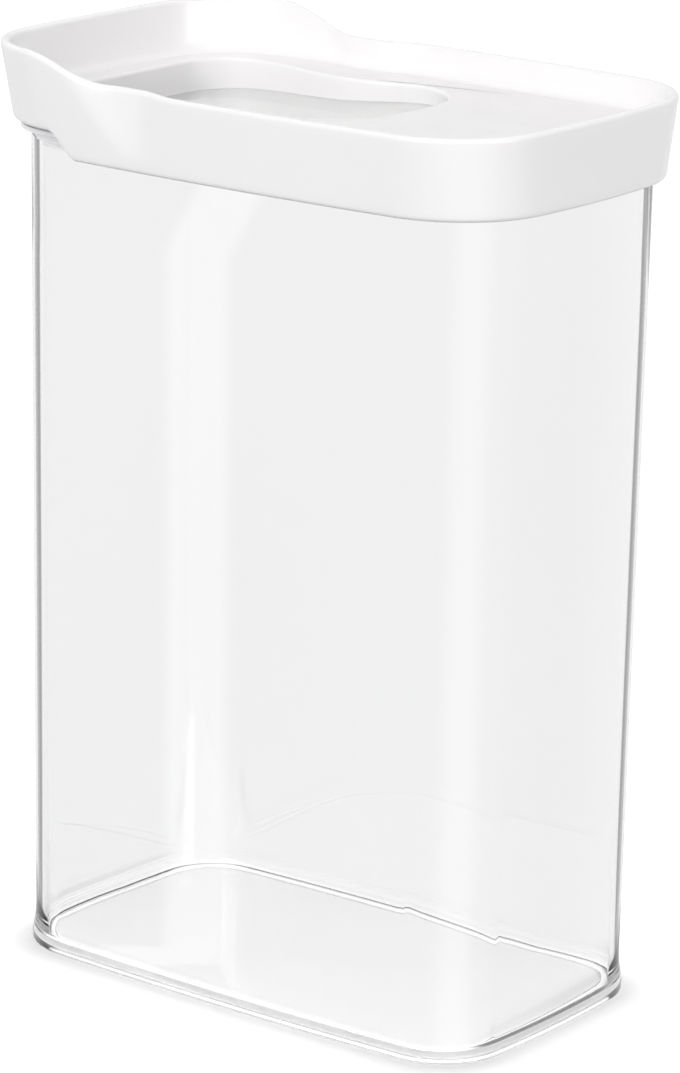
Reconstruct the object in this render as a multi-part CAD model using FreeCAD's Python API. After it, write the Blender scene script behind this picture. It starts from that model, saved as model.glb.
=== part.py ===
import FreeCAD, Part
import math
import os

# Clear storage canister with a white frame lid, millimetres.
# Origin: centre of the base on the table. +Z up, X along the length.
# The raised thumb lip of the lid is at -X.

V = FreeCAD.Vector

# Canister body, outside sizes at the base, measured at the middle of each side
base_length = 140.5
base_width = 81.3
base_corner = 17.0
end_bow = 0.85
side_bow = 1.3
draft_angle = 0.4
wall = 2.0
floor_thickness = 2.4
floor_recess = 0.9
floor_land = 4.0
inner_floor_radius = 4.0
base_edge_radius = 1.2
foot_height = 5.6
foot_proud = 0.35

# Height of the canister's mouth, where the lid lands, and depths below it
body_height = 213.2
skirt_drop = 10.2
front_skirt_drop = 3.8
flange_drop = 8.2
flange_height = 3.6
flange_edge_height = 1.2
flange_slope = 0.4

# Heights above the mouth
rim_rise = 9.3
lip_rise = 15.3

# Lid frame, how far the bottom edge of the skirt stands outside the canister
skirt_end_reach = 3.68
skirt_side_reach = 5.28
skirt_corner = 26.0
skirt_wall = 1.8
rim_wall = 2.4
side_flare = 3.0
front_flare = 1.3
back_flare = 0.3
rim_corner_change = -1.0
tray_thickness = 2.0
tray_fillet = 2.5

# Where the front of the lid steps up to the thumb lip, back from the skirt's front end
rim_step_setback = 31.0
rim_step_length = 23.0
skirt_step_setback = 27.0
skirt_step_length = 7.0

# Finger scallops, one in each long side of the lid
scallop_setback = 52.05
scallop_radius = 28.0
scallop_depth = 3.3

# Sunken well in the tray, inside sizes
well_length = 79.8
well_front_corner = 13.0
well_back_corner = 18.0
well_wall = 1.3
well_waist = 4.2
well_depth_front = 8.0
well_depth_back = 3.4
window_thickness = 1.8

# Plug under the lid that carries the seal
plug_depth = 10.0
plug_gap = 0.7
plug_thickness = 1.5
groove_depth = 0.7
groove_height = 2.6
groove_drop = 4.2

# Fits
skirt_clearance = 0.4
seal_clearance = 0.25
well_clearance = 0.3

# How far cutting shapes run past what they cut
cut_margin = 20.0
overrun = 1.0

# Straight bands that make up each rounded bottom edge
round_steps = 4

# Places that follow from the sizes above
draft = math.tan(math.radians(draft_angle))
landing_z = body_height
skirt_bottom_z = landing_z - skirt_drop
front_skirt_z = landing_z - front_skirt_drop
flange_underside_z = landing_z - flange_drop
flange_top_z = flange_underside_z + flange_height
flange_edge_z = flange_top_z - flange_edge_height
rim_z = landing_z + rim_rise
lip_z = landing_z + lip_rise
skirt_length = base_length + 2 * (skirt_bottom_z * draft + skirt_end_reach)
skirt_width = base_width + 2 * (skirt_bottom_z * draft + skirt_side_reach)
rim_step_x = rim_step_setback - skirt_length / 2
skirt_step_x = skirt_step_setback - skirt_length / 2
scallop_x = scallop_setback - skirt_length / 2
tray_z = landing_z + tray_thickness
plug_bottom_z = landing_z - plug_depth
mouth_grow = plug_bottom_z * draft - wall
well_inset = plug_gap + plug_thickness + well_clearance + well_wall
well_front_x = well_inset + end_bow - base_length / 2 - mouth_grow
well_back_x = well_front_x + well_length
well_width = base_width + 2 * (mouth_grow - well_inset - side_bow)
groove_top = landing_z - groove_drop
groove_bottom = groove_top - groove_height


def unit(v):
    return v * (1.0 / v.Length)


def rounded_loop(half_x, half_y, corner, z, centre_x=0.0, bow_x=end_bow, bow_y=side_bow):
    """Closed wire at height z: a rounded rectangle with four bowed sides, tangent all round."""
    span_x = half_x - corner
    span_y = half_y - corner
    side_radius = (span_x ** 2 + bow_y ** 2) / (2 * bow_y)
    end_radius = (span_y ** 2 + bow_x ** 2) / (2 * bow_x)
    side_centre = V(0, half_y - side_radius, 0)
    end_centre = V(half_x - end_radius, 0, 0)
    reach_side = side_radius - corner
    reach_end = end_radius - corner
    between = end_centre - side_centre
    gap = between.Length
    along = (reach_side ** 2 - reach_end ** 2 + gap ** 2) / (2 * gap)
    across = math.sqrt(reach_side ** 2 - along ** 2)
    direction = unit(between)
    square = V(direction.y, -direction.x, 0)
    corner_centre = side_centre + direction * along + square * across
    to_side = unit(corner_centre - side_centre)
    to_end = unit(corner_centre - end_centre)
    on_side = side_centre + to_side * side_radius
    on_end = end_centre + to_end * end_radius
    on_corner = corner_centre + unit(to_side + to_end) * corner

    def place(p, sign_x, sign_y):
        return V(centre_x + sign_x * p.x, sign_y * p.y, z)

    end_mid = V(half_x, 0, 0)
    side_mid = V(0, half_y, 0)
    arcs = [
        (place(on_end, 1, -1), place(end_mid, 1, 1), place(on_end, 1, 1)),
        (place(on_end, 1, 1), place(on_corner, 1, 1), place(on_side, 1, 1)),
        (place(on_side, 1, 1), place(side_mid, 1, 1), place(on_side, -1, 1)),
        (place(on_side, -1, 1), place(on_corner, -1, 1), place(on_end, -1, 1)),
        (place(on_end, -1, 1), place(end_mid, -1, 1), place(on_end, -1, -1)),
        (place(on_end, -1, -1), place(on_corner, -1, -1), place(on_side, -1, -1)),
        (place(on_side, -1, -1), place(side_mid, 1, -1), place(on_side, 1, -1)),
        (place(on_side, 1, -1), place(on_corner, 1, -1), place(on_end, 1, -1)),
    ]
    return Part.Wire([Part.Arc(*points).toShape() for points in arcs])


def stack(loops):
    """Solid through the loops, straight between one and the next."""
    return Part.makeLoft(loops, True, True)


def body_loop(z, offset=0.0):
    """The canister's drafted outside at height z, moved outward by offset."""
    grow = z * draft + offset
    return rounded_loop(base_length / 2 + grow, base_width / 2 + grow, base_corner + grow, z)


def skirt_loop(z, offset=0.0):
    """The lid's flared outside at height z, moved outward by offset."""
    share = (z - skirt_bottom_z) / (rim_z - skirt_bottom_z)
    front = skirt_length / 2 + front_flare * share + offset
    back = skirt_length / 2 + back_flare * share + offset
    half_y = skirt_width / 2 + side_flare * share + offset
    corner = skirt_corner + rim_corner_change * share + offset
    return rounded_loop((front + back) / 2, half_y, corner, z, (back - front) / 2)


def quarter_round(loop, z, offset, radius):
    """Loops that round the bottom edge of a solid standing at height z."""
    loops = []
    for step in range(round_steps + 1):
        turn = math.pi / 2 * step / round_steps
        loops.append(loop(z + radius * (1 - math.cos(turn)), offset - radius * (1 - math.sin(turn))))
    return loops


def step_solid(front_z, back_z, step_x, length, bottom_z):
    """Block below a line that steps smoothly from front_z to back_z at step_x."""
    far = skirt_length
    half_width = skirt_width
    start = V(step_x - length / 2, -half_width, front_z)
    finish = V(step_x + length / 2, -half_width, back_z)
    pull = V(length / 2, 0, 0)
    curve = Part.BezierCurve()
    curve.setPoles([start, start + pull, finish - pull, finish])
    front_top = V(-far, -half_width, front_z)
    back_top = V(far, -half_width, back_z)
    back_low = V(far, -half_width, bottom_z)
    front_low = V(-far, -half_width, bottom_z)
    outline = Part.Wire([
        Part.LineSegment(front_top, start).toShape(),
        curve.toShape(),
        Part.LineSegment(finish, back_top).toShape(),
        Part.LineSegment(back_top, back_low).toShape(),
        Part.LineSegment(back_low, front_low).toShape(),
        Part.LineSegment(front_low, front_top).toShape(),
    ])
    return Part.Face(outline).extrude(V(0, 2 * half_width, 0))


def scallop_columns(extra):
    """Upright columns beside both long sides; extra makes them thicker."""
    columns = []
    face_y = skirt_width / 2 + side_flare - scallop_depth
    height = lip_z + cut_margin - skirt_bottom_z
    for side in (1, -1):
        foot = V(scallop_x, side * (face_y + scallop_radius), skirt_bottom_z - cut_margin / 2)
        columns.append(Part.makeCylinder(scallop_radius + extra, height, foot))
    return columns


def well_loop(offset, z):
    """Plan of the well at height z, moved outward by offset; both sides draw in at the scallops."""
    front = well_front_x - offset
    back = well_back_x + offset
    half = well_width / 2 + offset
    front_r = well_front_corner + offset
    back_r = well_back_corner + offset
    lean = 1 - math.sqrt(0.5)

    def side(sign):
        a = V(front, sign * (half - front_r), z)
        b = V(front + front_r * lean, sign * (half - front_r * lean), z)
        c = V(front + front_r, sign * half, z)
        e = V(back - back_r, sign * half, z)
        f = V(back - back_r * lean, sign * (half - back_r * lean), z)
        g = V(back, sign * (half - back_r), z)
        waist_start = V((c.x + scallop_x) / 2, 0, 0)
        waist_end = V((e.x + scallop_x) / 2, 0, 0)
        draw = V(0, -sign * well_waist, 0)
        low = V(scallop_x, sign * half, z) + draw
        into = Part.BezierCurve()
        into.setPoles([c, V(waist_start.x, c.y, z), V(waist_start.x, low.y, z), low])
        out = Part.BezierCurve()
        out.setPoles([low, V(waist_end.x, low.y, z), V(waist_end.x, e.y, z), e])
        return a, b, c, into, out, e, f, g

    al, bl, cl, into_l, out_l, el, fl, gl = side(1)
    ar, br, cr, into_r, out_r, er, fr, gr = side(-1)
    return Part.Wire(Part.__sortEdges__([
        Part.LineSegment(ar, al).toShape(),
        Part.Arc(al, bl, cl).toShape(),
        into_l.toShape(),
        out_l.toShape(),
        Part.Arc(el, fl, gl).toShape(),
        Part.LineSegment(gl, gr).toShape(),
        Part.Arc(gr, fr, er).toShape(),
        out_r.toShape(),
        into_r.toShape(),
        Part.Arc(cr, br, ar).toShape(),
    ]))


def well_prism(offset, low_z, high_z):
    return Part.Face(well_loop(offset, low_z)).extrude(V(0, 0, high_z - low_z))


def tilted_slab(top_drop, thickness):
    """Slab under the well's sloping floor line; its top lies top_drop below that line."""
    run = well_back_x - well_front_x
    slope = (well_depth_front - well_depth_back) / run
    far = skirt_length
    middle_x = (well_front_x + well_back_x) / 2
    middle_z = tray_z - (well_depth_front + well_depth_back) / 2 - top_drop

    def at(x, drop):
        return V(x, -far, middle_z + slope * (x - middle_x) - drop)

    corners = [at(-far, 0), at(far, 0), at(far, thickness), at(-far, thickness)]
    face = Part.Face(Part.makePolygon(corners + corners[:1]))
    return face.extrude(V(0, 2 * far, 0))


def flange_loop(z):
    """The flange's outside: just clear of the skirt's inside at its bottom edge."""
    inset = skirt_wall + skirt_clearance
    return rounded_loop(skirt_length / 2 - inset, skirt_width / 2 - inset, skirt_corner - inset, z)


def make_container_body():
    outer = stack(quarter_round(body_loop, 0, foot_proud, base_edge_radius) + [
        body_loop(foot_height, foot_proud),
        body_loop(foot_height + foot_proud),
        body_loop(flange_underside_z),
        flange_loop(flange_edge_z),
        flange_loop(flange_top_z),
        body_loop(flange_top_z + flange_slope),
        body_loop(landing_z),
    ])
    inside_z = floor_recess + floor_thickness
    hollow = stack(quarter_round(body_loop, inside_z, -wall, inner_floor_radius)
                   + [body_loop(landing_z + cut_margin, -wall)])
    under = stack([body_loop(-cut_margin, -floor_land), body_loop(floor_recess, -floor_land)])
    return outer.cut(hollow).cut(under)


def make_lid_frame():
    top_z = lip_z + cut_margin / 2
    band = stack([skirt_loop(skirt_bottom_z), skirt_loop(top_z)])
    low_z = skirt_bottom_z - cut_margin
    band = band.common(step_solid(lip_z, rim_z, rim_step_x, rim_step_length, low_z))
    band = band.cut(step_solid(front_skirt_z, skirt_bottom_z, skirt_step_x, skirt_step_length, low_z))
    band = band.cut(scallop_columns(0.0))

    bowl = stack(quarter_round(skirt_loop, tray_z, -rim_wall, tray_fillet)
                 + [skirt_loop(top_z + cut_margin, -rim_wall)])
    bowl = bowl.cut(scallop_columns(rim_wall))
    recess = stack([skirt_loop(skirt_bottom_z - cut_margin, -skirt_wall), skirt_loop(landing_z, -skirt_wall)])
    recess = recess.cut(scallop_columns(skirt_wall))
    frame = band.cut(bowl).cut(recess)

    floor_line = tilted_slab(0.0, cut_margin)
    well_block = well_prism(well_wall, landing_z - cut_margin, landing_z).cut(floor_line)
    frame = frame.fuse(well_block)
    frame = frame.cut(well_prism(0.0, landing_z - cut_margin, tray_z + overrun))
    return frame.removeSplitter()


def make_lid_window():
    return well_prism(well_wall, landing_z - cut_margin, tray_z).common(tilted_slab(0.0, window_thickness))


def plug_ring(outer_gap, inner_gap, low_z, high_z):
    """Ring inside the canister's mouth, between two gaps from the mouth's wall."""
    outside = stack([mouth_loop(low_z, -outer_gap), mouth_loop(high_z, -outer_gap)])
    inside = stack([mouth_loop(low_z - overrun, -inner_gap), mouth_loop(high_z + overrun, -inner_gap)])
    return outside.cut(inside)


def mouth_loop(z, offset):
    """The mouth's inner wall at the depth of the plug's bottom, carried straight up."""
    grow = mouth_grow + offset
    return rounded_loop(base_length / 2 + grow, base_width / 2 + grow, base_corner + grow, z)


def make_seal_carrier():
    ring = plug_ring(plug_gap, plug_gap + plug_thickness, plug_bottom_z, landing_z)
    groove = plug_ring(0.0, plug_gap + groove_depth, groove_bottom, groove_top)
    return ring.cut(groove)


def make_seal_ring():
    middle_z = (groove_bottom + groove_top) / 2
    outside = stack([
        mouth_loop(groove_bottom, -plug_gap),
        mouth_loop(middle_z, -seal_clearance),
        mouth_loop(groove_top, -plug_gap),
    ])
    bore = plug_gap + groove_depth
    inside = stack([mouth_loop(groove_bottom - overrun, -bore), mouth_loop(groove_top + overrun, -bore)])
    return outside.cut(inside)


pieces = {
    "container_body": make_container_body,
    "lid_frame": make_lid_frame,
    "lid_window": make_lid_window,
    "seal_carrier": make_seal_carrier,
    "seal_ring": make_seal_ring,
}

os.makedirs("parts", exist_ok=True)
for name, make in pieces.items():
    shape = make()
    print(name, shape.isValid(), len(shape.Solids), round(shape.Volume))
    shape.exportStep("parts/" + name + ".step")
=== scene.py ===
import math

import bpy
from mathutils import Matrix, Vector


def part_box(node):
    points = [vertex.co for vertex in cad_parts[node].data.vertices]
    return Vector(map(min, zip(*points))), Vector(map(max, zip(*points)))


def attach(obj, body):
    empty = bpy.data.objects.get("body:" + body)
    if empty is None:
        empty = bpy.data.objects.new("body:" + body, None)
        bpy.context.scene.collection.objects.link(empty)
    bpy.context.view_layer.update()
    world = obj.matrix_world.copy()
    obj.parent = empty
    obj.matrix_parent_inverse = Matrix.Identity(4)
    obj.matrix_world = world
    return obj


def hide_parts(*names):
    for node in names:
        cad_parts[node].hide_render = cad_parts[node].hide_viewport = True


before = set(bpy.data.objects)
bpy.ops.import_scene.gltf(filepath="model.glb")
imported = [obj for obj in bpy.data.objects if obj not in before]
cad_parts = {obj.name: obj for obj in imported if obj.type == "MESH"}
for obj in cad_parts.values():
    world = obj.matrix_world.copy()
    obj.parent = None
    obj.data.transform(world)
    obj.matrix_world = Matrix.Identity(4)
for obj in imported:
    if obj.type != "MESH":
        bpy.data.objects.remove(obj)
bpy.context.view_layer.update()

# Clear storage canister with a white frame lid. Metres, same frame as the CAD model:
# base centre at the origin, +Z up, the raised thumb lip of the lid at -X.

MM = 0.001

# Canister, outside sizes at the base
BASE_HALF_X = 70.25 * MM
BASE_HALF_Y = 40.65 * MM
BASE_CORNER = 17.0 * MM
END_BOW = 0.85 * MM
SIDE_BOW = 1.3 * MM
DRAFT = math.tan(math.radians(0.4))
WALL = 2.0 * MM
FLOOR_LAND = 4.0 * MM
FLOOR_RECESS = 0.9 * MM
FLOOR_TOP = 2.3 * MM
FLOOR_FILLET = 1.8 * MM
EDGE_ROUND = 1.2 * MM
FOOT_HEIGHT = 2.9 * MM
FOOT_FLARE = 8.0 * MM
FOOT_PROUD = 0.9 * MM
FLANGE_UNDER_Z = 205.0 * MM
FLANGE_EDGE_Z = 207.4 * MM
FLANGE_TOP_Z = 208.6 * MM
FLANGE_SLOPE = 0.4 * MM
LANDING_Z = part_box("container_body")[1].z
FLANGE_FRONT_REACH = 1.6 * MM
FLANGE_FRONT_BLEND = 8.0 * MM
MOUTH_ROUND = 0.5 * MM
UNDER_MARGIN = 0.2 * MM
UNDER_NORMAL = -0.5

# Lid, outside sizes at the bottom edge of the skirt
SKIRT_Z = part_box("lid_frame")[0].z
SKIRT_HALF_X = 75.35 * MM
SKIRT_HALF_Y = 47.35 * MM
SKIRT_CORNER = 26.0 * MM
SKIRT_WALL = 1.8 * MM
SKIRT_CLEARANCE = 0.4 * MM
SKIRT_EDGE_ROUND = 1.1 * MM
FRONT_SKIRT_Z = 209.4 * MM
RIM_Z = 222.5 * MM
LIP_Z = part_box("lid_frame")[1].z
RIM_WALL = 2.4 * MM
SIDE_FLARE = 3.0 * MM
FRONT_FLARE = 1.3 * MM
BACK_FLARE = 0.3 * MM
CORNER_CHANGE = -1.0 * MM
TRAY_Z = 215.2 * MM
TRAY_FILLET = 2.5 * MM
RIM_STEP_X = -44.35 * MM
RIM_STEP = 23.0 * MM
SKIRT_STEP_X = -48.35 * MM
SKIRT_STEP = 7.0 * MM

# Finger scallops in the long sides of the lid
SCALLOP_X = -23.3 * MM
SCALLOP_DEPTH = 3.3 * MM
SCALLOP_LOW_Z = 207.0 * MM
SCALLOP_TOP_HALF = 16.7 * MM
SCALLOP_LOW_HALF = 5.0 * MM
SCALLOP_TOP_SHIFT = -2.8 * MM
SCALLOP_SIDE = 0.85
SCALLOP_RISE_LIMIT = 1.1

# Sunken well
WELL_FRONT = -65.0 * MM
WELL_BACK = 14.8 * MM
WELL_HALF = 34.95 * MM
WELL_FRONT_CORNER = 13.0 * MM
WELL_BACK_CORNER = 18.0 * MM
WELL_WALL = 1.3 * MM
WELL_WAIST = 4.2 * MM
WELL_EDGE_ROUND = 1.0 * MM
WELL_DEPTH_FRONT = 8.0 * MM
WELL_DEPTH_BACK = 3.4 * MM

# How finely the loops are divided
CORNER_STEPS = 24
SIDE_STEPS = 72
END_STEPS = 14
FLARE_STEPS = 10
SKIRT_STEPS = 14
TRAY_WALL_STEPS = 8
WALL_SHARES = (0.1, 0.3, 0.5, 0.7, 0.9)
INNER_WALL_SHARE = 0.9
SHARP_ANGLE = math.radians(40)


# Loops around the canister and the lid

def smooth(t):
    """0 to 1 with soft ends."""
    t = min(1.0, max(0.0, t))
    return t * t * (3 - 2 * t)


def arc_points(centre, start, finish, count):
    """Points on the arc about centre from start towards finish, without the last one."""
    radius = (start - centre).length
    a = math.atan2(start.y - centre.y, start.x - centre.x)
    b = math.atan2(finish.y - centre.y, finish.x - centre.x)
    turn = (b - a + math.pi) % (2 * math.pi) - math.pi
    points = []
    for i in range(count):
        angle = a + turn * i / count
        points.append(Vector((centre.x + radius * math.cos(angle), centre.y + radius * math.sin(angle))))
    return points


def rounded_loop(half_x, half_y, corner, centre_x=0.0):
    """Plan points of a rounded rectangle with four bowed sides, anticlockwise from the +X end."""
    span_x = half_x - corner
    span_y = half_y - corner
    side_radius = (span_x ** 2 + SIDE_BOW ** 2) / (2 * SIDE_BOW)
    end_radius = (span_y ** 2 + END_BOW ** 2) / (2 * END_BOW)
    side_centre = Vector((0, half_y - side_radius))
    end_centre = Vector((half_x - end_radius, 0))
    reach_side = side_radius - corner
    reach_end = end_radius - corner
    between = end_centre - side_centre
    gap = between.length
    along = (reach_side ** 2 - reach_end ** 2 + gap ** 2) / (2 * gap)
    across = math.sqrt(reach_side ** 2 - along ** 2)
    direction = between.normalized()
    square = Vector((direction.y, -direction.x))
    corner_centre = side_centre + direction * along + square * across
    on_side = side_centre + (corner_centre - side_centre).normalized() * side_radius
    on_end = end_centre + (corner_centre - end_centre).normalized() * end_radius

    def flip(p, sx, sy):
        return Vector((sx * p.x, sy * p.y))

    stretches = [
        (end_centre, on_end, 1, -1, on_end, 1, 1, END_STEPS),
        (corner_centre, on_end, 1, 1, on_side, 1, 1, CORNER_STEPS),
        (side_centre, on_side, 1, 1, on_side, -1, 1, SIDE_STEPS),
        (flip(corner_centre, -1, 1), on_side, -1, 1, on_end, -1, 1, CORNER_STEPS),
        (flip(end_centre, -1, 1), on_end, -1, 1, on_end, -1, -1, END_STEPS),
        (flip(corner_centre, -1, -1), on_end, -1, -1, on_side, -1, -1, CORNER_STEPS),
        (flip(side_centre, 1, -1), on_side, -1, -1, on_side, 1, -1, SIDE_STEPS),
        (flip(corner_centre, 1, -1), on_side, 1, -1, on_end, 1, -1, CORNER_STEPS),
    ]
    points = []
    for centre, p, px, py, q, qx, qy, count in stretches:
        points += arc_points(centre, flip(p, px, py), flip(q, qx, qy), count)
    return [Vector((centre_x + p.x, p.y)) for p in points]


def body_row(z, offset=0.0):
    """The canister's drafted outside at height z, moved outward by offset."""
    grow = z * DRAFT + offset
    plan = rounded_loop(BASE_HALF_X + grow, BASE_HALF_Y + grow, BASE_CORNER + grow)
    return [Vector((p.x, p.y, z)) for p in plan]


def flange_row(z, offset=0.0):
    """The flange under the lid; it reaches further out where the front of the skirt is raised."""
    inset = SKIRT_WALL + SKIRT_CLEARANCE - offset
    plan = rounded_loop(SKIRT_HALF_X - inset, SKIRT_HALF_Y - inset, SKIRT_CORNER - inset)
    inset -= FLANGE_FRONT_REACH
    front = rounded_loop(SKIRT_HALF_X - inset, SKIRT_HALF_Y - inset, SKIRT_CORNER - inset)
    row = []
    for p, q in zip(plan, front):
        share = smooth((SKIRT_STEP_X - SKIRT_STEP / 2 - p.x) / FLANGE_FRONT_BLEND)
        place = p.lerp(q, share)
        row.append(Vector((place.x, place.y, z)))
    return row


def skirt_plan(z, offset):
    """The lid's flared outside at height z, moved outward by offset."""
    share = (z - SKIRT_Z) / (RIM_Z - SKIRT_Z)
    front = SKIRT_HALF_X + FRONT_FLARE * share + offset
    back = SKIRT_HALF_X + BACK_FLARE * share + offset
    half_y = SKIRT_HALF_Y + SIDE_FLARE * share + offset
    corner = SKIRT_CORNER + CORNER_CHANGE * share + offset
    return rounded_loop((front + back) / 2, half_y, corner, (back - front) / 2)


def scallop(x, z):
    """How far the long sides are pressed in at x and height z."""
    rise = min((z - SCALLOP_LOW_Z) / (RIM_Z - SCALLOP_LOW_Z), SCALLOP_RISE_LIMIT)
    if rise <= 0:
        return 0.0
    half = SCALLOP_LOW_HALF + (SCALLOP_TOP_HALF - SCALLOP_LOW_HALF) * rise
    centre = SCALLOP_X + SCALLOP_TOP_SHIFT * rise
    away = abs(x - centre) / half
    return SCALLOP_DEPTH * rise * smooth((1 - away) / SCALLOP_SIDE)


def rim_height(x):
    return RIM_Z + (LIP_Z - RIM_Z) * smooth((RIM_STEP_X + RIM_STEP / 2 - x) / RIM_STEP)


def skirt_height(x):
    return SKIRT_Z + (FRONT_SKIRT_Z - SKIRT_Z) * smooth((SKIRT_STEP_X + SKIRT_STEP / 2 - x) / SKIRT_STEP)


def lid_row(share_of, offset, lift=0.0):
    """A loop on the lid; share_of(x) gives the height at x, lift is added to it."""
    guide = skirt_plan(RIM_Z, 0.0)
    row = []
    cache = {}
    for i, g in enumerate(guide):
        z = share_of(g.x) + lift
        key = round(z, 6)
        if key not in cache:
            cache[key] = skirt_plan(z, offset)
        p = cache[key][i]
        y = p.y - math.copysign(scallop(p.x, z), p.y)
        row.append(Vector((p.x, y, z)))
    return row


def well_plan(offset):
    """Plan points of the well with as many points as the other loops, moved outward by offset."""
    front = WELL_FRONT - offset
    back = WELL_BACK + offset
    half = WELL_HALF + offset
    rf = WELL_FRONT_CORNER + offset
    rb = WELL_BACK_CORNER + offset

    def waist(x):
        reach = (x - SCALLOP_X) / (back - rb - SCALLOP_X if x > SCALLOP_X else SCALLOP_X - front - rf)
        return WELL_WAIST * (1 - smooth(abs(reach)))

    points = []
    for i in range(END_STEPS):
        points.append(Vector((back, (half - rb) * (2 * i / END_STEPS - 1))))
    points += arc_points(Vector((back - rb, half - rb)), Vector((back, half - rb)),
                         Vector((back - rb, half)), CORNER_STEPS)
    for i in range(SIDE_STEPS):
        x = back - rb + (front + rf - back + rb) * i / SIDE_STEPS
        points.append(Vector((x, half - waist(x))))
    points += arc_points(Vector((front + rf, half - rf)), Vector((front + rf, half)),
                         Vector((front, half - rf)), CORNER_STEPS)
    for i in range(END_STEPS):
        points.append(Vector((front, (half - rf) * (1 - 2 * i / END_STEPS))))
    points += arc_points(Vector((front + rf, rf - half)), Vector((front, rf - half)),
                         Vector((front + rf, -half)), CORNER_STEPS)
    for i in range(SIDE_STEPS):
        x = front + rf + (back - rb - front - rf) * i / SIDE_STEPS
        points.append(Vector((x, waist(x) - half)))
    points += arc_points(Vector((back - rb, rb - half)), Vector((back - rb, -half)),
                         Vector((back, rb - half)), CORNER_STEPS)
    return points


def window_height(x):
    """Top of the sloping window at x."""
    share = (x - WELL_FRONT) / (WELL_BACK - WELL_FRONT)
    return TRAY_Z - WELL_DEPTH_FRONT - (WELL_DEPTH_BACK - WELL_DEPTH_FRONT) * share


def well_row(offset, height):
    return [Vector((p.x, p.y, height(p.x))) for p in well_plan(offset)]


def level(z):
    return lambda x: z


# Meshes

def mesh_from_rows(name, rows, closed):
    """Quads between neighbouring rows; closed joins the last row to the first, else the ends are capped."""
    count = len(rows[0])
    verts = [tuple(p) for row in rows for p in row]
    faces = []
    pairs = len(rows) if closed else len(rows) - 1
    for r in range(pairs):
        a = r * count
        b = ((r + 1) % len(rows)) * count
        for i in range(count):
            j = (i + 1) % count
            faces.append((a + i, a + j, b + j, b + i))
    if not closed:
        faces.append(tuple(range(count - 1, -1, -1)))
        last = (len(rows) - 1) * count
        faces.append(tuple(range(last, last + count)))
    mesh = bpy.data.meshes.new(name)
    mesh.from_pydata(verts, [], faces)
    mesh.update()
    mesh.shade_smooth()
    mesh.set_sharp_from_angle(angle=SHARP_ANGLE)
    piece = bpy.data.objects.new(name, mesh)
    bpy.context.scene.collection.objects.link(piece)
    return piece


def quarter(steps):
    """Pairs (sin, 1 - cos) over a quarter turn."""
    turns = [math.pi / 2 * i / steps for i in range(steps + 1)]
    return [(math.sin(t), 1 - math.cos(t)) for t in turns]


def make_canister():
    rows = [body_row(FLOOR_RECESS, -FLOOR_LAND - EDGE_ROUND)]
    rows += [body_row(FLOOR_RECESS * (1 - c), -FLOOR_LAND - EDGE_ROUND * (1 - s)) for s, c in quarter(4)]
    rows += [body_row(EDGE_ROUND * c, FOOT_PROUD - EDGE_ROUND * (1 - s)) for s, c in quarter(8)]
    for i in range(FLARE_STEPS + 1):
        share = i / FLARE_STEPS
        rows.append(body_row(FOOT_HEIGHT + FOOT_FLARE * share, FOOT_PROUD * (1 - share) ** 2))
    for share in WALL_SHARES:
        rows.append(body_row(FOOT_HEIGHT + (FLANGE_UNDER_Z - FOOT_HEIGHT) * share))
    for s, c in quarter(6):
        low = body_row(FLANGE_UNDER_Z + (FLANGE_EDGE_Z - FLANGE_UNDER_Z) * s)
        high = flange_row(FLANGE_UNDER_Z + (FLANGE_EDGE_Z - FLANGE_UNDER_Z) * s)
        rows.append([p.lerp(q, c) for p, q in zip(low, high)])
    rows += [flange_row(FLANGE_TOP_Z - MOUTH_ROUND * (1 - s), -MOUTH_ROUND * c) for s, c in quarter(4)]
    rows += [body_row(FLANGE_TOP_Z + FLANGE_SLOPE)]
    rows += [body_row(LANDING_Z - MOUTH_ROUND * (1 - s), -MOUTH_ROUND * c) for s, c in quarter(4)]
    rows += [body_row(LANDING_Z - MOUTH_ROUND * c, -WALL + MOUTH_ROUND * (1 - s)) for s, c in quarter(4)]
    for share in reversed(WALL_SHARES):
        height = (LANDING_Z - FLOOR_TOP) * share * INNER_WALL_SHARE
        rows.append(body_row(FLOOR_TOP + FLOOR_FILLET + height, -WALL))
    f = FLOOR_FILLET
    rows += [body_row(FLOOR_TOP + f * (1 - s), -WALL - f * c) for s, c in quarter(10)]
    return mesh_from_rows("canister_shell", rows, closed=False)


def make_lid():
    crest = RIM_WALL / 2
    rows = [well_row(WELL_WALL, window_height), well_row(WELL_WALL, level(LANDING_Z))]
    rows.append(lid_row(level(LANDING_Z), -SKIRT_WALL))
    rows.append(lid_row(skirt_height, -SKIRT_WALL, SKIRT_EDGE_ROUND))
    r = SKIRT_EDGE_ROUND
    rows += [lid_row(skirt_height, -SKIRT_WALL + r * c, r * (1 - s)) for s, c in quarter(4)]
    rows += [lid_row(skirt_height, -r * (1 - s), r * c) for s, c in quarter(4)]
    for i in range(1, SKIRT_STEPS):
        share = i / SKIRT_STEPS

        def between(x, share=share):
            low = skirt_height(x) + SKIRT_EDGE_ROUND
            return low + (rim_height(x) - crest - low) * share

        rows.append(lid_row(between, 0.0))
    rows += [lid_row(rim_height, -crest * c, -crest * (1 - s)) for s, c in quarter(6)]
    rows += [lid_row(rim_height, -crest - crest * s, -crest * c) for s, c in quarter(6)[1:]]
    for i in range(1, TRAY_WALL_STEPS):
        share = i / TRAY_WALL_STEPS

        def inside(x, share=share):
            high = rim_height(x) - crest
            return high + (TRAY_Z + TRAY_FILLET - high) * share

        rows.append(lid_row(inside, -RIM_WALL))
    f = TRAY_FILLET
    rows += [lid_row(level(TRAY_Z + f * (1 - s)), -RIM_WALL - f * c) for s, c in quarter(6)]
    e = WELL_EDGE_ROUND
    rows += [well_row(e * (1 - s), level(TRAY_Z - e * c)) for s, c in quarter(6)]
    rows.append(well_row(0.0, window_height))
    return mesh_from_rows("lid_shell", rows, closed=True)


# Materials

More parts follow.
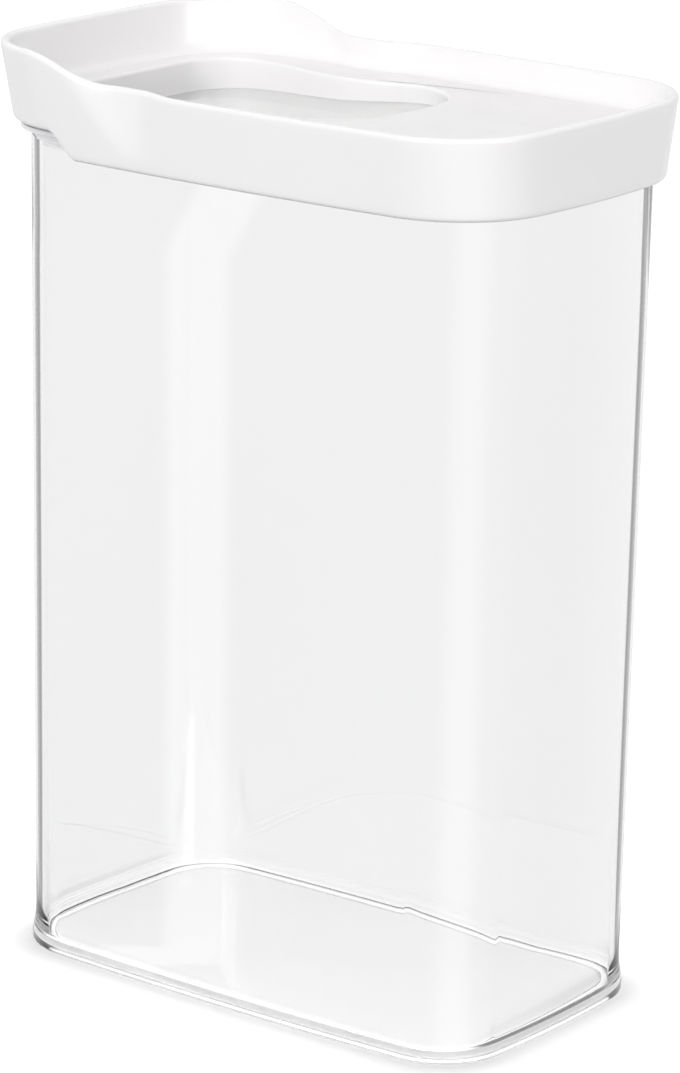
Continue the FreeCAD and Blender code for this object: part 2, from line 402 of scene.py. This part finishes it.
def new_material(name):
    material = bpy.data.materials.new(name)
    material.use_nodes = True
    nodes = material.node_tree.nodes
    return material, nodes, material.node_tree.links, nodes["Principled BSDF"]


def noise(nodes, links, scale, detail):
    place = nodes.new("ShaderNodeTexCoord")
    texture = nodes.new("ShaderNodeTexNoise")
    texture.inputs["Scale"].default_value = scale
    texture.inputs["Detail"].default_value = detail
    links.new(place.outputs["Object"], texture.inputs["Vector"])
    return texture.outputs["Fac"]


def vary_colour(nodes, links, shader, value, low, high):
    ramp = nodes.new("ShaderNodeValToRGB")
    ramp.color_ramp.elements[0].position = 0.3
    ramp.color_ramp.elements[1].position = 0.7
    ramp.color_ramp.elements[0].color = (*low, 1)
    ramp.color_ramp.elements[1].color = (*high, 1)
    links.new(value, ramp.inputs["Fac"])
    links.new(ramp.outputs["Color"], shader.inputs["Base Color"])


def vary_roughness(nodes, links, shader, value, low, high):
    spread = nodes.new("ShaderNodeMapRange")
    spread.inputs["To Min"].default_value = low
    spread.inputs["To Max"].default_value = high
    links.new(value, spread.inputs["Value"])
    links.new(spread.outputs["Result"], shader.inputs["Roughness"])


def add_bump(nodes, links, shader, value, strength, distance):
    bump = nodes.new("ShaderNodeBump")
    bump.inputs["Strength"].default_value = strength
    bump.inputs["Distance"].default_value = distance
    links.new(value, bump.inputs["Height"])
    links.new(bump.outputs["Normal"], shader.inputs["Normal"])


def white_plastic(name, low, high, rough_low, rough_high):
    """Glossy moulded polypropylene: faint colour drift, uneven gloss and a soft moulded ripple."""
    material, nodes, links, shader = new_material(name)
    shader.inputs["IOR"].default_value = 1.49
    shader.inputs["Specular IOR Level"].default_value = 0.3
    vary_colour(nodes, links, shader, noise(nodes, links, 18, 3), low, high)
    vary_roughness(nodes, links, shader, noise(nodes, links, 60, 4), rough_low, rough_high)
    add_bump(nodes, links, shader, noise(nodes, links, 140, 2), 0.05, 0.0002)
    return material


def clear_plastic(name, low, high, absorb, density, rough_low=0.0, rough_high=0.012, clarity=1.0):
    """Clear styrene copolymer with a faint tint that deepens with thickness; less clarity makes it milky."""
    material, nodes, links, shader = new_material(name)
    shader.inputs["Transmission Weight"].default_value = clarity
    shader.inputs["IOR"].default_value = 1.56
    vary_colour(nodes, links, shader, noise(nodes, links, 12, 2), low, high)
    vary_roughness(nodes, links, shader, noise(nodes, links, 40, 2), rough_low, rough_high)
    add_bump(nodes, links, shader, noise(nodes, links, 22, 1), 0.004, 0.0003)
    volume = nodes.new("ShaderNodeVolumeAbsorption")
    volume.inputs["Color"].default_value = (*absorb, 1)
    volume.inputs["Density"].default_value = density
    links.new(volume.outputs["Volume"], nodes["Material Output"].inputs["Volume"])
    return material


def silicone(name):
    material, nodes, links, shader = new_material(name)
    shader.inputs["Subsurface Weight"].default_value = 0.2
    shader.inputs["Subsurface Scale"].default_value = 0.002
    vary_colour(nodes, links, shader, noise(nodes, links, 30, 3), (0.74, 0.75, 0.75), (0.8, 0.81, 0.81))
    vary_roughness(nodes, links, shader, noise(nodes, links, 90, 4), 0.45, 0.6)
    add_bump(nodes, links, shader, noise(nodes, links, 400, 3), 0.1, 0.0001)
    return material


def dress(piece, material):
    piece.data.materials.clear()
    piece.data.materials.append(material)


BODY_ABSORB = (0.5, 0.505, 0.508)
BODY_DENSITY = 4.0

lid_white = white_plastic("lid_white", (0.908, 0.895, 0.901), (0.925, 0.913, 0.919), 0.16, 0.24)
plug_white = white_plastic("plug_white", (0.82, 0.82, 0.815), (0.85, 0.85, 0.845), 0.3, 0.4)
body_clear = clear_plastic("body_clear", (0.953, 0.954, 0.954), (0.96, 0.961, 0.961),
                           BODY_ABSORB, BODY_DENSITY)
rim_clear = clear_plastic("rim_clear", (0.94, 0.94, 0.97), (0.96, 0.96, 0.99),
                          BODY_ABSORB, BODY_DENSITY, clarity=0.12)
window_clear = clear_plastic("window_clear", (0.81, 0.81, 0.805), (0.84, 0.84, 0.835),
                             (0.6, 0.6, 0.59), 20.0)
base_frost = clear_plastic("base_frost", (0.96, 0.96, 0.96), (0.98, 0.98, 0.98),
                           (0.9, 0.9, 0.9), 1.0, rough_low=0.45, rough_high=0.55, clarity=0.4)
seal_soft = silicone("seal_soft")

# The canister is polished, apart from the frosted recess under its floor and its milky flange

canister = make_canister()
dress(canister, body_clear)
canister.data.materials.append(base_frost)
canister.data.materials.append(rim_clear)
FROST_INDEX = 1
RIM_INDEX = 2
for face in canister.data.polygons:
    inward = BASE_HALF_X - abs(face.center.x) > WALL and BASE_HALF_Y - abs(face.center.y) > WALL
    if abs(face.center.z - FLOOR_RECESS) < UNDER_MARGIN and face.normal.z < UNDER_NORMAL:
        face.material_index = FROST_INDEX
    elif FLANGE_UNDER_Z < face.center.z < FLANGE_TOP_Z + FLANGE_SLOPE and not inward:
        face.material_index = RIM_INDEX
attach(canister, "container")
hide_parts("container_body")
canister.visible_shadow = False

lid = make_lid()
dress(lid, lid_white)
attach(lid, "lid")
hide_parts("lid_frame")

dress(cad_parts["lid_window"], window_clear)
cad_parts["lid_window"].visible_shadow = False
dress(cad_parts["seal_carrier"], plug_white)
dress(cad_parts["seal_ring"], seal_soft)


# Stage: pale floor, soft light from all round and three lamps. The floor is FLOOR_COLOUR under the lamps,
# lifted to white for the camera, with a painted shadow around the base. Clear plastic shows it at
# THROUGH_LEVEL, plus a painted glow under the base.

FLOOR_HALF = 4.0
FLOOR_DROP = 0.2 * MM
FLOOR_COLOUR = 0.55
FLOOR_LIFT = 0.74
# Painted shadow on the floor around the base: how far the camera's lift drops there, and where that fades.
PAINTED_CONTACT_SHADOW = 0.54
CONTACT_START = -6.0 * MM
CONTACT_REACH = 13.0 * MM
THROUGH_LEVEL = 1.0
# Painted glow: extra brightness of the floor under the base, seen only through the clear plastic.
PAINTED_GLOW_UNDER = 0.42
SKY_LEVEL = 0.5

# Dark wedges of the floor that show only in light turned inside the plastic of the rounded edges:
# place of that edge, heading, half width and soft edge in degrees. The wedge under the +X end of the base is
# a painted shadow and counts only below the base.
# TURNED_LEVEL is what the same light sees of the world.
FLAGS = [
    ((-62 * MM, -33 * MM), 162.4, 8.0, 6.0),
    ((62 * MM, 33 * MM), 92.4, 8.0, 6.0),
]
PAINTED_END_SHADOW = ((40 * MM, 0.0), 0.0, 40.0, 10.0)
FLAG_LEVEL = 0.3
TURNED_LEVEL = 0.05

# Light cards that show only as reflections: heading, half width and edge in degrees, level
CARDS = [
    (-130.1, 0.9, 0.9, 1.1),
    (-36.0, 8.0, 36.0, 1.0),
    (127.4, 55.0, 20.0, 0.7),
]
GLOSS_LEVEL = 0.3
GLOSS_TOP = 0.9
GLOSS_RISE = (0.1, 0.6)

LAMP_AIM = (0, 0, 0.2)


def add_math(nodes, links, operation, a, b):
    node = nodes.new("ShaderNodeMath")
    node.operation = operation
    for socket, value in zip(node.inputs, (a, b)):
        if isinstance(value, float):
            socket.default_value = value
        else:
            links.new(value, socket)
    return node.outputs["Value"]


def ray_kinds(nodes, links):
    """Sockets: seen directly, through clear plastic, as a reflection, and turned back inside one wall."""
    path = nodes.new("ShaderNodeLightPath")
    direct = path.outputs["Is Camera Ray"]
    through = path.outputs["Is Transmission Ray"]
    not_through = add_math(nodes, links, "SUBTRACT", 1.0, through)
    mirrored = add_math(nodes, links, "MULTIPLY", path.outputs["Is Glossy Ray"], not_through)
    turned = add_math(nodes, links, "GREATER_THAN", path.outputs["Glossy Depth"], 0.5)
    one_wall = add_math(nodes, links, "LESS_THAN", path.outputs["Transmission Depth"], 2.5)
    within = add_math(nodes, links, "MULTIPLY", turned, one_wall)
    bounced = add_math(nodes, links, "MULTIPLY", through, within)
    return direct, through, mirrored, bounced


def ramp_between(nodes, links, value, start, finish, low, high):
    """Smooth change from low at start to high at finish."""
    spread = nodes.new("ShaderNodeMapRange")
    spread.interpolation_type = "SMOOTHSTEP"
    spread.inputs["From Min"].default_value = start
    spread.inputs["From Max"].default_value = finish
    spread.inputs["To Min"].default_value = low
    spread.inputs["To Max"].default_value = high
    links.new(value, spread.inputs["Value"])
    return spread.outputs["Result"]


def add_vector(nodes, links, operation, vector, fixed=None):
    node = nodes.new("ShaderNodeVectorMath")
    node.operation = operation
    links.new(vector, node.inputs[0])
    if fixed is not None:
        node.inputs[1].default_value = fixed
    return node


def wedge(nodes, links, vector, apex, heading, half_width, edge, level):
    """Level where the plan direction from apex to the place is within half_width of heading, else 0."""
    offset = add_vector(nodes, links, "SUBTRACT", vector, (*apex, 0)).outputs["Vector"]
    flat = add_vector(nodes, links, "MULTIPLY", offset, (1, 1, 0)).outputs["Vector"]
    ahead = add_vector(nodes, links, "NORMALIZE", flat).outputs["Vector"]
    turn = math.radians(heading)
    centre_line = (math.cos(turn), math.sin(turn), 0)
    towards = add_vector(nodes, links, "DOT_PRODUCT", ahead, centre_line).outputs["Value"]
    away = add_math(nodes, links, "ARCCOSINE", towards, 0.0)
    inner = math.radians(half_width)
    return ramp_between(nodes, links, away, inner, inner + math.radians(edge), level, 0.0)


def outside_base(nodes, links, place):
    """Distance on the floor from the rounded outline of the base, negative inside it."""
    split = nodes.new("ShaderNodeSeparateXYZ")
    links.new(place, split.inputs["Vector"])
    squares = []
    for axis, half in (("X", BASE_HALF_X), ("Y", BASE_HALF_Y)):
        away = add_math(nodes, links, "ABSOLUTE", split.outputs[axis], 0.0)
        past = add_math(nodes, links, "SUBTRACT", away, half - BASE_CORNER)
        clamped = add_math(nodes, links, "MAXIMUM", past, 0.0)
        squares.append(add_math(nodes, links, "MULTIPLY", clamped, clamped))
    reach = add_math(nodes, links, "SQRT", add_math(nodes, links, "ADD", *squares), 0.0)
    return add_math(nodes, links, "SUBTRACT", reach, BASE_CORNER)


def make_floor():
    h = FLOOR_HALF
    mesh = bpy.data.meshes.new("floor")
    z = -FLOOR_DROP
    mesh.from_pydata([(-h, -h, z), (h, -h, z), (h, h, z), (-h, h, z)], [], [(0, 1, 2, 3)])
    floor = bpy.data.objects.new("floor", mesh)
    bpy.context.scene.collection.objects.link(floor)
    material, nodes, links, shader = new_material("floor_white")
    nodes.remove(shader)
    direct, through, _, bounced = ray_kinds(nodes, links)
    place = nodes.new("ShaderNodeTexCoord").outputs["Object"]
    matte = nodes.new("ShaderNodeBsdfDiffuse")
    matte.inputs["Color"].default_value = (FLOOR_COLOUR, FLOOR_COLOUR, FLOOR_COLOUR, 1)
    outside = outside_base(nodes, links, place)
    # Painted shadow: the camera's lift is lowered near the outline of the base.
    painted_contact = ramp_between(nodes, links, outside, CONTACT_START, CONTACT_REACH, PAINTED_CONTACT_SHADOW, 0.0)
    shaded = add_math(nodes, links, "SUBTRACT", FLOOR_LIFT, painted_contact)
    lift = nodes.new("ShaderNodeEmission")
    links.new(add_math(nodes, links, "MULTIPLY", direct, shaded), lift.inputs["Strength"])
    plain = nodes.new("ShaderNodeAddShader")
    links.new(matte.outputs["BSDF"], plain.inputs[0])
    links.new(lift.outputs["Emission"], plain.inputs[1])
    # Painted glow under the base for light coming through the clear plastic.
    under = ramp_between(nodes, links, outside, -FLOOR_LAND, FLOOR_LAND, PAINTED_GLOW_UNDER, 0.0)
    backdrop = nodes.new("ShaderNodeEmission")
    links.new(add_math(nodes, links, "ADD", under, THROUGH_LEVEL), backdrop.inputs["Strength"])
    total = nodes.new("ShaderNodeMixShader")
    links.new(through, total.inputs["Fac"])
    links.new(plain.outputs["Shader"], total.inputs[1])
    links.new(backdrop.outputs["Emission"], total.inputs[2])
    flag = nodes.new("ShaderNodeEmission")
    flag.inputs["Strength"].default_value = FLAG_LEVEL
    flagged = [wedge(nodes, links, place, *spread, 1.0) for spread in FLAGS]
    beside = add_math(nodes, links, "MAXIMUM", *flagged)
    mix = nodes.new("ShaderNodeMixShader")
    # The end wedge, kept to below the base, is a painted shadow under its +X end, seen only through the
    # plastic.
    below = ramp_between(nodes, links, outside, 0.0, FLOOR_LAND, 1.0, 0.0)
    end = add_math(nodes, links, "MULTIPLY", wedge(nodes, links, place, *PAINTED_END_SHADOW, 1.0), below)
    dark = add_math(nodes, links, "MAXIMUM", beside, end)
    links.new(add_math(nodes, links, "MULTIPLY", dark, bounced), mix.inputs["Fac"])
    links.new(total.outputs["Shader"], mix.inputs[1])
    links.new(flag.outputs["Emission"], mix.inputs[2])
    links.new(mix.outputs["Shader"], nodes["Material Output"].inputs["Surface"])
    dress(floor, material)
    floor.visible_glossy = False


def card_levels(nodes, links):
    """Level of the reflected studio by direction: dim at the sides, upright cards, pale overhead."""
    direction = nodes.new("ShaderNodeTexCoord").outputs["Generated"]
    split = nodes.new("ShaderNodeSeparateXYZ")
    links.new(direction, split.inputs["Vector"])
    level = ramp_between(nodes, links, split.outputs["Z"], *GLOSS_RISE, GLOSS_LEVEL, GLOSS_TOP)
    for spread in CARDS:
        level = add_math(nodes, links, "ADD", level, wedge(nodes, links, direction, (0, 0), *spread))
    return level


def make_world():
    world = bpy.data.worlds.new("studio")
    bpy.context.scene.world = world
    world.use_nodes = True
    nodes = world.node_tree.nodes
    links = world.node_tree.links
    direct, through, mirrored, bounced = ray_kinds(nodes, links)
    seen = add_math(nodes, links, "MAXIMUM", direct, through)
    sky = nodes["Background"]
    sky.inputs["Strength"].default_value = SKY_LEVEL
    gloss = nodes.new("ShaderNodeBackground")
    links.new(card_levels(nodes, links), gloss.inputs["Strength"])
    white = nodes.new("ShaderNodeBackground")
    loss = add_math(nodes, links, "MULTIPLY", bounced, 1.0 - TURNED_LEVEL)
    links.new(add_math(nodes, links, "SUBTRACT", 1.0, loss), white.inputs["Strength"])
    for shader in (sky, gloss, white):
        shader.inputs["Color"].default_value = (1, 1, 1, 1)
    first = nodes.new("ShaderNodeMixShader")
    links.new(mirrored, first.inputs["Fac"])
    links.new(sky.outputs["Background"], first.inputs[1])
    links.new(gloss.outputs["Background"], first.inputs[2])
    second = nodes.new("ShaderNodeMixShader")
    links.new(seen, second.inputs["Fac"])
    links.new(first.outputs["Shader"], second.inputs[1])
    links.new(white.outputs["Background"], second.inputs[2])
    links.new(second.outputs["Shader"], nodes["World Output"].inputs["Surface"])


def add_lamp(name, place, width, height, power):
    data = bpy.data.lights.new(name, "AREA")
    data.shape = "RECTANGLE"
    data.size = width
    data.size_y = height
    data.energy = power
    lamp = bpy.data.objects.new(name, data)
    bpy.context.scene.collection.objects.link(lamp)
    lamp.location = place
    lamp.rotation_euler = (Vector(LAMP_AIM) - Vector(place)).to_track_quat("-Z", "Y").to_euler()


make_floor()
make_world()
add_lamp("key_light", (0.12, -1.5, 0.95), 1.0, 0.8, 15.5)
add_lamp("top_light", (0.0, 0.3, 1.6), 2.0, 2.0, 3.0)
add_lamp("right_light", (1.6, 0.1, 0.35), 0.8, 0.5, 7.5)


# Camera at the photograph's viewing angle

AZIMUTH = math.radians(37.37)
ELEVATION = math.radians(15.93)
ROLL = 0.0187
DISTANCE = 1.1512
TARGET_Z = 0.11045
FRAME_SIZE = (680, 1073)
FOCAL_PIXELS = 4755.0
OPTICAL_CENTRE = (331.66, 533.4)
SENSOR = 36.0


def make_camera():
    data = bpy.data.cameras.new("photo_camera")
    camera = bpy.data.objects.new("photo_camera", data)
    bpy.context.scene.collection.objects.link(camera)
    back = Vector((math.sin(AZIMUTH) * math.cos(ELEVATION), -math.cos(AZIMUTH) * math.cos(ELEVATION),
                   math.sin(ELEVATION)))
    right = Vector((math.cos(AZIMUTH), math.sin(AZIMUTH), 0))
    up = back.cross(right)
    rolled_right = right * math.cos(ROLL) + up * math.sin(ROLL)
    rolled_up = up * math.cos(ROLL) - right * math.sin(ROLL)
    turn = Matrix((rolled_right, rolled_up, back)).transposed()
    place = Vector((0, 0, TARGET_Z)) + back * DISTANCE
    camera.matrix_world = Matrix.Translation(place) @ turn.to_4x4()
    long_side = max(FRAME_SIZE)
    data.sensor_width = SENSOR
    data.lens = FOCAL_PIXELS * SENSOR / long_side
    data.shift_x = (FRAME_SIZE[0] / 2 - OPTICAL_CENTRE[0]) / long_side
    data.shift_y = (OPTICAL_CENTRE[1] - FRAME_SIZE[1] / 2) / long_side
    bpy.context.scene.camera = camera


make_camera()
bpy.context.scene.view_settings.view_transform = "Standard"
